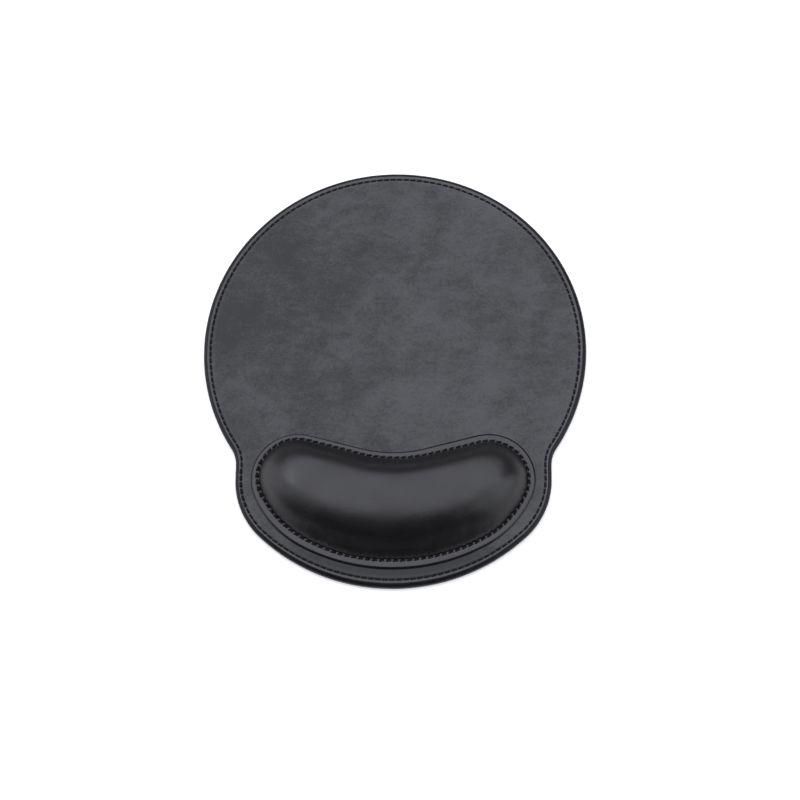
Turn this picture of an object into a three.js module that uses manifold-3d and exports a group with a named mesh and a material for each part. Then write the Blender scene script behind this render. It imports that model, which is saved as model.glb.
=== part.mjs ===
// Mouse pad with a padded wrist rest sewn onto it. Lengths are in millimetres and +Z is up.
// The pad is symmetrical about x = 0, +Y runs away from the user, and the origin lies under the middle
// of the outline, on the surface that the pad rests on.

import * as THREE from 'three';
import { mergeVertices } from 'three/addons/utils/BufferGeometryUtils.js';
import Module from 'manifold-3d';

const { degToRad } = THREE.MathUtils;

// Outline of the pad: a round mousing field that narrows at a waist into a broad foot
const fieldRadius = 109.5;
const flankAngle = degToRad(33);
const waistRadius = 19;
const waistLength = 8;
const footCornerRadius = 45.5;
const footCornerSweep = degToRad(46.5);

// Outline of the wrist rest's flange: hollow along the back, with a round shoulder at each end
const restBackRadius = 71;
const restBackSweep = degToRad(14.5);
const restShoulderRadius = 26;
const restShoulderSweep = degToRad(127.5);
const restHipRadius = 59;
const restHipSweep = degToRad(38.5);
const restFrontMargin = 10.4;
const restSideMargin = 9.3;

// Layers, from the desk up
const sheetThickness = 1.2;
const coreThickness = 2.4;
const coverThickness = 1;

// Rim, which slopes down outside its seam to a cut edge that is filled and rounded by a coating
const rimDrop = 0.5;
const coatingThickness = 0.8;
const coatingGap = 0.25;

// Wrist rest cushion
const crownHeight = 17;
const crownFullness = 2.3;
const crownTopAngle = degToRad(78);
const foamClearance = 0.3;

// Seams
const threadDiameter = 0.6;
const threadClearance = 0.15;
const stitchPitch = 3.9;
const stitchRise = 0.25;
const rimSeamInset = 3.6;
const hemWidth = 3.3;
const hemShift = 0.8;

// How finely curves are divided
const facetLength = 6.5;
const facetAngle = degToRad(11);
const crownBands = 5;
const threadSides = 4;
const stepsPerStitch = 2;

// Shares of the coating's section: how far in from its face, and how high on the rim
const coatingSectionShares = [[1, 1], [0.3, 0.9], [0, 0.64], [0, 0.38], [0.3, 0.12], [1, 0.02]];

// Share of the seam's half width that the crown's ridge reaches to each side
const ridgeReachShare = 0.6;

// Heights worked out from the layers
const coreBottom = sheetThickness;
const coreTop = coreBottom + coreThickness;
const padTop = coreTop + sheetThickness;
const flangeTop = padTop + coverThickness;

const threadRadius = threadDiameter / 2;
const threadRoom = threadDiameter + 2 * threadClearance;
const sheetInset = coatingThickness + coatingGap;

// Half of an outline is traced from the middle line: straight runs and turns, then one last turn that
// comes back square to the middle line. Each stop keeps its place and the direction that points inwards.
function traceHalf(moves) {
  const place = new THREE.Vector2();
  const stops = [];
  let heading = 0;

  function mark() {
    const inward = new THREE.Vector2(Math.sin(heading), -Math.cos(heading));
    stops.push({ place: place.clone(), inward });
  }

  function run(length) {
    const count = Math.ceil(length / facetLength);
    for (let i = 0; i < count; i++) {
      place.x += Math.cos(heading) * length / count;
      place.y += Math.sin(heading) * length / count;
      mark();
    }
  }

  function turn(radius, sweep) {
    const side = Math.sign(sweep);
    const count = Math.ceil(Math.abs(sweep) * Math.max(radius / facetLength, 1 / facetAngle));
    for (let i = 0; i < count; i++) {
      const next = heading + sweep / count;
      place.x += side * radius * (Math.sin(next) - Math.sin(heading));
      place.y += side * radius * (Math.cos(heading) - Math.cos(next));
      heading = next;
      mark();
    }
  }

  mark();
  for (const { radius, sweep, length } of moves) {
    if (length === undefined) turn(radius, sweep);
    else run(length);
  }
  turn(-place.x / Math.sin(heading), -Math.PI - heading);
  return stops;
}

// A whole outline runs anticlockwise and sits with its lowest point at the given height on the page
function outlineFrom(moves, lowest) {
  const half = traceHalf(moves);
  const lift = lowest - half.at(-1).place.y;
  for (const { place } of half) place.y += lift;
  const mirrored = half.slice(1, -1).map(({ place, inward }) => ({
    place: new THREE.Vector2(-place.x, place.y),
    inward: new THREE.Vector2(-inward.x, inward.y),
  }));
  return [...mirrored, ...half.reverse()];
}

// A ring is the outline drawn inwards by the same amount all round, at one height
function ring(outline, inset, z, shift = 0) {
  return outline.map(({ place, inward }) => (
    new THREE.Vector3(place.x + inward.x * inset, place.y + inward.y * inset + shift, z)
  ));
}

function bodyFrom(corners, faces) {
  const geometry = new THREE.BufferGeometry();
  const values = corners.flatMap((corner) => corner.toArray());
  geometry.setAttribute('position', new THREE.Float32BufferAttribute(values, 3));
  geometry.setIndex(faces.flat());
  return geometry;
}

function bandBetween(first, second, count) {
  const faces = [];
  for (let i = 0; i < count; i++) {
    const next = (i + 1) % count;
    faces.push([first + i, second + i, second + next]);
    faces.push([first + i, second + next, first + next]);
  }
  return faces;
}

// A lofted body starts with a face that looks up, runs from ring to ring and ends with one that looks down
function loft(rings) {
  const count = rings[0].length;
  const last = (rings.length - 1) * count;
  const faces = THREE.ShapeUtils.triangulateShape(rings[0], []);
  for (let k = 1; k < rings.length; k++) faces.push(...bandBetween((k - 1) * count, k * count, count));
  for (const [a, b, c] of THREE.ShapeUtils.triangulateShape(rings.at(-1), [])) {
    faces.push([last + a, last + c, last + b]);
  }
  return bodyFrom(rings.flat(), faces);
}

// A hoop runs from ring to ring and back to the first, clockwise round its section
function hoop(rings) {
  const count = rings[0].length;
  const faces = rings.flatMap((_, k) => (
    bandBetween(k * count, ((k + 1) % rings.length) * count, count)
  ));
  return bodyFrom(rings.flat(), faces);
}

// Solid cutting
const manifold = await Module();
manifold.setup();

function solidOf(geometry) {
  const bare = mergeVertices(geometry);
  return new manifold.Manifold(new manifold.Mesh({
    numProp: 3,
    vertProperties: bare.attributes.position.array,
    triVerts: new Uint32Array(bare.index.array),
  }));
}

function geometryOf(solid) {
  const mesh = solid.getMesh();
  const geometry = new THREE.BufferGeometry();
  geometry.setAttribute('position', new THREE.BufferAttribute(mesh.vertProperties, mesh.numProp));
  geometry.setIndex(new THREE.BufferAttribute(mesh.triVerts, 1));
  return geometry;
}

// The two outlines. The straight part of the wrist rest's back is as long as the foot's width leaves room for.
const padMoves = [
  { radius: fieldRadius, sweep: -(Math.PI / 2 + flankAngle) },
  { radius: waistRadius, sweep: flankAngle },
  { length: waistLength },
  { radius: footCornerRadius, sweep: -footCornerSweep },
];
const footHalfWidth = (fieldRadius + waistRadius) * Math.cos(flankAngle) - waistRadius;
const restShoulderReach = restShoulderRadius * (1 + Math.sin(restBackSweep));
const restBackReach = footHalfWidth - restSideMargin - restShoulderReach;
const restBackLength = restBackReach / Math.cos(restBackSweep) - restBackRadius * Math.tan(restBackSweep);
const restMoves = [
  { radius: restBackRadius, sweep: restBackSweep },
  { length: restBackLength },
  { radius: restShoulderRadius, sweep: -restShoulderSweep },
  { radius: restHipRadius, sweep: -restHipSweep },
];
const padLength = -traceHalf(padMoves).at(-1).place.y;
const padOutline = outlineFrom(padMoves, -padLength / 2);
const restOutline = outlineFrom(restMoves, -padLength / 2 + restFrontMargin);

function padRing(inset, z) {
  return ring(padOutline, inset, z);
}

// The wrist rest's seam follows its flange, moved a little towards the back, so the hem is widest in front
function restRing(insetFromSeam, z) {
  return ring(restOutline, hemWidth + insetFromSeam, z, hemShift);
}

// Thread laid in a groove: it walks along the groove's middle in even steps, low at each needle hole and
// high between them, and its section is a small polygon
function walk(track, wantedStep, stepsPerWave) {
  const lengths = track.map((point, i) => point.distanceTo(track[(i + 1) % track.length]));
  const total = lengths.reduce((sum, length) => sum + length, 0);
  const waves = Math.round(total / wantedStep / stepsPerWave);
  const count = waves * stepsPerWave;
  const stops = [];
  let span = 0;
  let passed = 0;
  for (let i = 0; i < count; i++) {
    const distance = total * i / count;
    while (passed + lengths[span] <= distance) {
      passed += lengths[span];
      span += 1;
    }
    stops.push({ span, share: (distance - passed) / lengths[span], high: i % stepsPerWave });
  }
  return stops;
}

function threadOnTrack(ringAt, inset, stops, lowZ, highZ) {
  const sections = Array.from({ length: threadSides }, (_, side) => {
    const angle = Math.PI / 2 - 2 * Math.PI * side / threadSides;
    const lane = ringAt(inset - threadRadius * Math.cos(angle), 0);
    return stops.map(({ span, share, high }) => {
      const point = lane[span].clone().lerp(lane[(span + 1) % lane.length], share);
      point.z = (high ? highZ : lowZ) + threadRadius * Math.sin(angle);
      return point;
    });
  });
  return hoop(sections);
}

const stitchStep = stitchPitch / stepsPerStitch;
const rimStops = walk(padRing(rimSeamInset, 0), stitchStep, stepsPerStitch);
const restStops = walk(restRing(0, 0), stitchStep, stepsPerStitch);
const plainRestStops = restOutline.map((_, span) => ({ span, share: 0, high: 0 }));

// The needle threads lie shallow, so that each stitch stands a little proud of the leather, and the lower
// threads lie wholly inside their grooves
const shallowDepth = threadRoom - threadRadius;
const sunkenDepth = threadRoom + stitchRise;
const grooveHalf = threadRoom / 2;
const lowAboveFloor = threadClearance + threadRadius;

// Underside sheet, with the lower thread sunk into its face so that the pad lies flat
function makeBaseSheet() {
  return loft([
    padRing(sheetInset, sheetThickness),
    padRing(sheetInset, 0),
    padRing(rimSeamInset - grooveHalf, 0),
    padRing(rimSeamInset - grooveHalf, sunkenDepth),
    padRing(rimSeamInset + grooveHalf, sunkenDepth),
    padRing(rimSeamInset + grooveHalf, 0),
  ]);
}

// Stiff board that keeps the pad flat, with a channel for the wrist rest's lower thread
function makeCoreBoard() {
  const board = loft([padRing(sheetInset, coreTop), padRing(sheetInset, coreBottom)]);
  const floor = coreTop - threadRoom;
  const mouth = coreTop + threadClearance;
  const channel = hoop([
    restRing(grooveHalf, mouth),
    restRing(-grooveHalf, mouth),
    restRing(-grooveHalf, floor),
    restRing(grooveHalf, floor),
  ]);
  return geometryOf(solidOf(board).subtract(solidOf(channel)));
}

// Upper sheet that the mouse runs on, in one piece right under the wrist rest, thinned towards its edge
function makeTopSheet() {
  return loft([
    padRing(rimSeamInset + grooveHalf, padTop),
    padRing(rimSeamInset + grooveHalf, padTop - shallowDepth),
    padRing(rimSeamInset - grooveHalf, padTop - shallowDepth),
    padRing(rimSeamInset - grooveHalf, padTop),
    padRing(sheetInset, padTop - rimDrop),
    padRing(sheetInset, coreTop),
  ]);
}

// Coating on the cut edge of the three layers, rounded like half a bead
function makeEdgeCoating() {
  return hoop(coatingSectionShares.map(([insetShare, heightShare]) => (
    padRing(insetShare * coatingThickness, heightShare * (padTop - rimDrop))
  )));
}

// The crown blends from the seam to a ridge that bends with the wrist rest. Each step gives the share of
// the way out from the ridge and the share of the height, along a full, rounded section.
const crownSteps = Array.from({ length: crownBands + 1 }, (_, k) => {
  const angle = crownTopAngle * k / crownBands;
  return {
    outShare: Math.cos(angle) ** (2 / crownFullness),
    heightShare: Math.sin(angle) ** (2 / crownFullness),
  };
});

const seamRing = restRing(0, 0);
const seamBack = seamRing.at(-1);
const seamFront = seamRing.reduce((low, point) => (point.y < low.y ? point : low));
const seamShoulder = seamRing.reduce((high, point) => (point.y > high.y ? point : high));
const ridgeMiddle = (seamBack.y + seamFront.y) / 2;
const ridgeRise = (seamShoulder.y - seamBack.y) / seamShoulder.x ** 2;

function crownRing(insetFromSeam, footZ, rise, { outShare, heightShare }) {
  return restRing(insetFromSeam, 0).map((edge) => {
    const ridgeX = edge.x * ridgeReachShare;
    const ridge = new THREE.Vector3(ridgeX, ridgeMiddle + ridgeRise * ridgeX ** 2, 0);
    const point = ridge.lerp(edge, outShare);
    point.z = footZ + rise * heightShare;
    return point;
  });
}

// Leather cover: a crowned shell, open underneath, whose flange is sewn flat onto the upper sheet
function makeRestCover() {
  const outside = crownSteps.map((step) => crownRing(grooveHalf, flangeTop, crownHeight, step));
  const inside = crownSteps.map((step) => (
    crownRing(grooveHalf + coverThickness, padTop, crownHeight, step)
  ));
  return loft([
    ...outside.reverse(),
    restRing(grooveHalf, flangeTop - shallowDepth),
    restRing(-grooveHalf, flangeTop - shallowDepth),
    restRing(-grooveHalf, flangeTop),
    ring(restOutline, 0, flangeTop),
    ring(restOutline, 0, padTop),
    ...inside,
  ]);
}

// Foam cushion, flat underneath and crowned like the cover that holds it
function makeRestFoam() {
  const inset = grooveHalf + coverThickness + foamClearance;
  const rise = crownHeight - foamClearance;
  return loft(crownSteps.map((step) => crownRing(inset, padTop, rise, step)).reverse());
}

function makeRimNeedleThread() {
  const low = padTop - shallowDepth + lowAboveFloor;
  return threadOnTrack(padRing, rimSeamInset, rimStops, low, low + stitchRise);
}

function makeRimBobbinThread() {
  const low = sunkenDepth - lowAboveFloor;
  return threadOnTrack(padRing, rimSeamInset, rimStops, low, low - stitchRise);
}

function makeRestNeedleThread() {
  const low = flangeTop - shallowDepth + lowAboveFloor;
  return threadOnTrack(restRing, 0, restStops, low, low + stitchRise);
}

function makeRestBobbinThread() {
  const level = coreTop - threadRoom / 2;
  return threadOnTrack(restRing, 0, plainRestStops, level, level);
}

// Finishes
const finishes = {
  underside: new THREE.MeshStandardMaterial({ color: 0x4d4f54, roughness: 0.8, metalness: 0 }),
  board: new THREE.MeshStandardMaterial({ color: 0x6b4a38, roughness: 0.9, metalness: 0 }),
  upper: new THREE.MeshStandardMaterial({ color: 0x47494d, roughness: 0.75, metalness: 0 }),
  coating: new THREE.MeshStandardMaterial({ color: 0x141516, roughness: 0.45, metalness: 0 }),
  cover: new THREE.MeshStandardMaterial({ color: 0x1f2022, roughness: 0.38, metalness: 0 }),
  foam: new THREE.MeshStandardMaterial({ color: 0xc9c4b4, roughness: 0.95, metalness: 0 }),
  thread: new THREE.MeshStandardMaterial({ color: 0x161617, roughness: 0.6, metalness: 0 }),
};

const mousePad = new THREE.Group();

function addPiece(parent, name, geometry, material) {
  geometry.computeVertexNormals();
  const piece = new THREE.Mesh(geometry, material);
  piece.name = name;
  parent.add(piece);
}

const pad = new THREE.Group();
addPiece(pad, 'base_sheet', makeBaseSheet(), finishes.underside);
addPiece(pad, 'core_board', makeCoreBoard(), finishes.board);
addPiece(pad, 'top_sheet', makeTopSheet(), finishes.upper);
addPiece(pad, 'edge_coating', makeEdgeCoating(), finishes.coating);
addPiece(pad, 'rim_needle_thread', makeRimNeedleThread(), finishes.thread);
addPiece(pad, 'rim_bobbin_thread', makeRimBobbinThread(), finishes.thread);

const wristRest = new THREE.Group();
addPiece(wristRest, 'wrist_rest_cover', makeRestCover(), finishes.cover);
addPiece(wristRest, 'wrist_rest_foam', makeRestFoam(), finishes.foam);
addPiece(wristRest, 'wrist_rest_needle_thread', makeRestNeedleThread(), finishes.thread);
addPiece(wristRest, 'wrist_rest_bobbin_thread', makeRestBobbinThread(), finishes.thread);

mousePad.add(pad, wristRest);

export default mousePad;
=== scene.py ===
# %% [markdown]
# # A mouse pad with a padded wrist rest
#
# The pad is a sandwich: a matte grey leather sheet on top, a stiff board in the middle and an embossed
# sheet underneath. A seam runs all round, and a black coating seals the cut edge. A cushion covered in
# smooth black leather is sewn onto the front.
#
# The solid model already holds every size and place. This script dresses it: each sewn, soft or coated
# piece is built again in fine detail, exactly around the solid that it stands for.

# %% Load the solid model
import math
import bmesh
import bpy
import numpy as np
from mathutils import Matrix, Vector, kdtree, noise


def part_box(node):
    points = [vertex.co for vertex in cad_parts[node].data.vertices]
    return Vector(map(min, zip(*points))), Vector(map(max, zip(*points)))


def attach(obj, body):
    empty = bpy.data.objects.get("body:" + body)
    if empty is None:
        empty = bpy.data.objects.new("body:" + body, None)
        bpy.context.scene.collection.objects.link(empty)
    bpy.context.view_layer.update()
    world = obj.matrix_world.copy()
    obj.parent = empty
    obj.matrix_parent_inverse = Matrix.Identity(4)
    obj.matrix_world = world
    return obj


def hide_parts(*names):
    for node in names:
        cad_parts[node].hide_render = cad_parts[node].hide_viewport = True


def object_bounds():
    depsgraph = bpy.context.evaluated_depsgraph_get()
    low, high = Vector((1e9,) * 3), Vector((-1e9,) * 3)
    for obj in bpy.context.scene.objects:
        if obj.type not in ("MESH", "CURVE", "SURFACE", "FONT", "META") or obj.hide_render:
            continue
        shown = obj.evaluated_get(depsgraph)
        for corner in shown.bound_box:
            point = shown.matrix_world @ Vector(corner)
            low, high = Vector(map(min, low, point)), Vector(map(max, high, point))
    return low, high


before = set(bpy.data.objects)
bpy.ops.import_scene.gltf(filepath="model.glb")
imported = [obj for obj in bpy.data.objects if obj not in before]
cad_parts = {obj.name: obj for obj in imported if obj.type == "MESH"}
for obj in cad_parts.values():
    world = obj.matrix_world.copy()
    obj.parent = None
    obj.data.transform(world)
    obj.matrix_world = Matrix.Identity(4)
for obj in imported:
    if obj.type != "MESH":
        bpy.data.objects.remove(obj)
cad_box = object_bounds()
MM = 0.001
print("solid model, in mm:", [round(side / MM, 2) for side in cad_box[1] - cad_box[0]])

# %% [markdown]
# ## The camera
#
# The photograph looks down on the pad from a little in front of it, and is turned slightly on the page.
# A camera is easiest to place by what it does: which point it looks at, from how far, how high above the
# desk, how far round the object, and how much it leans. The three directions of its own axes then make
# the columns of its matrix.

# %% Camera
VIEW_DISTANCE = 1200 * MM
VIEW_HEIGHT_ANGLE = math.radians(70.95)
VIEW_SIDE_ANGLE = math.radians(5.866)
VIEW_LEAN = math.radians(-5.632)
VIEW_TARGET = Vector((3.4, -15.4, 2.5)) * MM
LENS_LENGTH = 95.18
SENSOR_WIDTH = 36


def add_object(name, data):
    """A new object at the origin, linked into the scene."""
    thing = bpy.data.objects.new(name, data)
    bpy.context.collection.objects.link(thing)
    return thing


level = math.cos(VIEW_HEIGHT_ANGLE)
aside, ahead = math.sin(VIEW_SIDE_ANGLE), math.cos(VIEW_SIDE_ANGLE)
sideways = Vector((ahead, aside, 0))
backward = Vector((aside * level, -ahead * level, math.sin(VIEW_HEIGHT_ANGLE)))
lean = Matrix.Rotation(VIEW_LEAN, 3, backward)
axes = Matrix((lean @ sideways, lean @ backward.cross(sideways), backward)).transposed()
camera = add_object("camera", bpy.data.cameras.new("camera"))
camera.data.lens = LENS_LENGTH
camera.data.sensor_width = SENSOR_WIDTH
camera.matrix_world = Matrix.Translation(VIEW_TARGET + backward * VIEW_DISTANCE) @ axes.to_4x4()
bpy.context.scene.camera = camera
print("camera stands at", [round(part, 3) for part in camera.matrix_world.translation])

# %% [markdown]
# ## The two outlines
#
# Both outlines are drawn as a maker would cut them: round stretches and straight runs that flow into
# each other, traced for one half from the middle of the back and mirrored for the other. Every stop also
# keeps the direction that points inwards, so a line at any distance from the edge is one step away.

# %% Walk round half an outline
TRACE_STEP = 0.25 * MM


def trace_half(moves):
    """Each stop is x, y and heading. A move is a radius and a sweep, or None and a length."""
    stops = [(0.0, 0.0, 0.0)]

    def run(length):
        x, y, heading = stops[-1]
        count = math.ceil(length / TRACE_STEP)
        for i in range(1, count + 1):
            reach = length * i / count
            stops.append((x + reach * math.cos(heading), y + reach * math.sin(heading), heading))

    def turn(radius, sweep):
        x, y, heading = stops[-1]
        reach = math.copysign(radius, sweep)
        count = math.ceil(radius * abs(sweep) / TRACE_STEP)
        for i in range(1, count + 1):
            now = heading + sweep * i / count
            aside = reach * (math.sin(now) - math.sin(heading))
            along = reach * (math.cos(heading) - math.cos(now))
            stops.append((x + aside, y + along, now))

    for radius, amount in moves:
        if radius is None:
            run(amount)
        else:
            turn(radius, amount)
    x, _, heading = stops[-1]
    turn(-x / math.sin(heading), -math.pi - heading)
    return np.array(stops)


def whole_outline(moves, front):
    """The half and its mirror image, with its front at the given y: places and inward directions."""
    half = trace_half(moves)
    place = half[:, :2] + [0, front - half[-1, 1]]
    inward = np.column_stack([np.sin(half[:, 2]), -np.cos(half[:, 2])])
    mirrored = np.array([-1, 1])
    return [np.vstack([side, side[-2:0:-1] * mirrored]) for side in (place, inward)]


# %% Outline of the pad and of the wrist rest
FIELD_RADIUS = (cad_box[1].x - cad_box[0].x) / 2
FLANK_ANGLE = math.radians(33)
WAIST_RADIUS = 19 * MM
WAIST_LENGTH = 8 * MM
FOOT_CORNER_RADIUS = 45.5 * MM
FOOT_CORNER_SWEEP = math.radians(46.5)

REST_BACK_RADIUS = 71 * MM
REST_BACK_SWEEP = math.radians(14.5)
REST_SHOULDER_RADIUS = 26 * MM
REST_SHOULDER_SWEEP = math.radians(127.5)
REST_HIP_RADIUS = 59 * MM
REST_HIP_SWEEP = math.radians(38.5)
REST_SIDE_MARGIN = 9.3 * MM
REST_FRONT_MARGIN = 10.4 * MM

pad_front = cad_box[0].y
pad_outline = whole_outline([
    (FIELD_RADIUS, -(math.pi / 2 + FLANK_ANGLE)),
    (WAIST_RADIUS, FLANK_ANGLE),
    (None, WAIST_LENGTH),
    (FOOT_CORNER_RADIUS, -FOOT_CORNER_SWEEP),
], pad_front)

foot_half_width = (FIELD_RADIUS + WAIST_RADIUS) * math.cos(FLANK_ANGLE) - WAIST_RADIUS
shoulder_reach = REST_SHOULDER_RADIUS * (1 + math.sin(REST_BACK_SWEEP))
back_reach = foot_half_width - REST_SIDE_MARGIN - shoulder_reach
back_length = back_reach / math.cos(REST_BACK_SWEEP) - REST_BACK_RADIUS * math.tan(REST_BACK_SWEEP)
rest_outline = whole_outline([
    (REST_BACK_RADIUS, REST_BACK_SWEEP),
    (None, back_length),
    (REST_SHOULDER_RADIUS, -REST_SHOULDER_SWEEP),
    (REST_HIP_RADIUS, -REST_HIP_SWEEP),
], pad_front + REST_FRONT_MARGIN)
for name, (place, _) in (("pad", pad_outline), ("wrist rest", rest_outline)):
    print(name, "outline, in mm:", (np.ptp(place, axis=0) / MM).round(2))

# %% [markdown]
# ## Stops that keep time with the stitches
#
# Leather is drawn in at every needle hole, so the mesh needs the holes to fall on its own points. The
# stops are spaced evenly along the seam, the same whole number to each stitch, and every ring of the
# mesh is drawn from those stops. `hole` is 1 at a needle hole and -1 halfway between two.

# %% Stops along a seam
STITCH_PITCH = 3.9 * MM


class Track:
    """Evenly spaced stops along a seam, with their places on the outline and inward directions."""

    def __init__(self, outline, seam_inset, steps_per_stitch):
        line = outline[0] + outline[1] * seam_inset
        gaps = np.linalg.norm(np.roll(line, -1, axis=0) - line, axis=1)
        passed = np.concatenate([[0.0], np.cumsum(gaps)])
        self.stitches = round(passed[-1] / STITCH_PITCH)
        self.steps = steps_per_stitch
        self.count = self.stitches * steps_per_stitch
        wanted = passed[-1] * np.arange(self.count) / self.count
        self.place, self.inward = (
            np.column_stack([np.interp(wanted, passed, np.append(side, side[0])) for side in values.T])
            for values in outline
        )
        self.hole = np.cos(2 * np.pi * np.arange(self.count) / steps_per_stitch)

    def ring(self, inset, height):
        """The outline drawn inwards, at a height. Both may differ from stop to stop."""
        flat = self.place + self.inward * np.reshape(inset, (-1, 1))
        return np.column_stack([flat, np.broadcast_to(height, self.count)])

    def waver(self, size):
        """Noise from -1 to 1 at every stop, whose swells have about the given size."""
        return np.array([noise.noise(Vector((*place, 0)) / size) for place in self.place])


# %% [markdown]
# ## Skins that run from ring to ring
#
# Nearly every piece here is a band that runs round an outline: a sheet with a rolled edge, a bead, a
# crowned cover. In the editor you would draw one loop of edges, extrude it, and move the new loop, again
# and again. The same tools do it here: a circle gives the first loop, an edge extrusion each next one,
# and a filled face closes the end.

# %% Loops and lofts
def first_loop(bm, points):
    corners = bmesh.ops.create_circle(bm, segments=len(points), radius=1.0)["verts"]
    for corner, point in zip(corners, points):
        corner.co = point
    return corners


def edges_round(bm, corners):
    return [bm.edges.get(pair) for pair in zip(corners, [*corners[1:], corners[0]])]


def next_loop(bm, corners, points):
    """Extrudes a loop of edges and moves the new loop onto the points."""
    place_of = {corner: i for i, corner in enumerate(corners)}
    fresh = [None] * len(corners)
    for item in bmesh.ops.extrude_edge_only(bm, edges=edges_round(bm, corners))["geom"]:
        if isinstance(item, bmesh.types.BMVert):
            olds = [place_of.get(edge.other_vert(item)) for edge in item.link_edges]
            i = next(old for old in olds if old is not None)
            item.co = points[i]
            fresh[i] = item
    return fresh


def loft(bm, rings):
    loops = [first_loop(bm, rings[0])]
    for points in rings[1:]:
        loops.append(next_loop(bm, loops[-1], points))
    return loops


def fill_loop(bm, corners):
    return bmesh.ops.contextual_create(bm, geom=edges_round(bm, corners))["faces"][0]


def closed_loft(bm, rings):
    """A loft with a face over its first loop and another over its last."""
    loops = loft(bm, rings)
    fill_loop(bm, loops[0])
    fill_loop(bm, loops[-1])
    return loops


# %% Cut a flat face
CUT_TOLERANCE = 0.0001 * MM


def cut_faces(bm, faces, place, direction):
    """Cuts flat faces along a plane and returns all the faces that there are afterwards."""
    around = {item for face in faces for item in (*face.edges, *face.verts)}
    made = bmesh.ops.bisect_plane(
        bm, geom=[*faces, *around], plane_co=place, plane_no=direction, dist=CUT_TOLERANCE
    )
    return [item for item in made["geom"] if isinstance(item, bmesh.types.BMFace)]


def box_of(face):
    places = np.array([corner.co for corner in face.verts])
    return Vector(places.min(axis=0)), Vector(places.max(axis=0))


def cut_into_grid(bm, face, spacing):
    """Cuts a flat face into cells and returns the new points inside it."""
    border = set(face.verts)
    low, high = box_of(face)
    faces = [face]
    for axis in (0, 1):
        direction = Vector((1 - axis, axis, 0))
        count = round((high[axis] - low[axis]) / spacing)
        for i in range(1, count):
            faces = cut_faces(bm, faces, direction * (low[axis] + i * spacing), direction)
    own = set(faces)
    return [
        corner for corner in {corner for face in faces for corner in face.verts} - border
        if all(face in own for face in corner.link_faces)
    ]


# %% Turn a finished bmesh into a piece of the object
SHARP_ANGLE = math.radians(55)


def finished_mesh(bm, name):
    mesh = bpy.data.meshes.new(name)
    bm.to_mesh(mesh)
    bm.free()
    return mesh


def add_piece(bm, name, node, finish):
    """A piece that replaces a node of the model and lies on its body."""
    bmesh.ops.recalc_face_normals(bm, faces=bm.faces)
    for face in bm.faces:
        face.smooth = True
    for edge in bm.edges:
        edge.smooth = edge.calc_face_angle(0) < SHARP_ANGLE
    mesh = finished_mesh(bm, name)
    mesh.materials.append(finish)
    piece = add_object(name, mesh)
    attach(piece, "root")
    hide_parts(node)
    triangles = sum(len(face.vertices) - 2 for face in mesh.polygons)
    print(name, "has", triangles, "triangles")
    return piece


# %% [markdown]
# ## Finishes
#
# Each finish is a node material built from noise at the sizes the real surface shows, and read from
# Object coordinates, so a size here is a real size. The small class below only shortens the writing:
# it adds a node, feeds its inputs, and hands back the output that the next node needs. A finish whose
# colour and roughness come from noise still starts with plain ones, which the nodes then take over.

# %% A short way to write node materials
# Noise runs from 0 to 1, but nearly all of it lies between these two
NOISE_RANGE = (0.3, 0.7)


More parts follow.
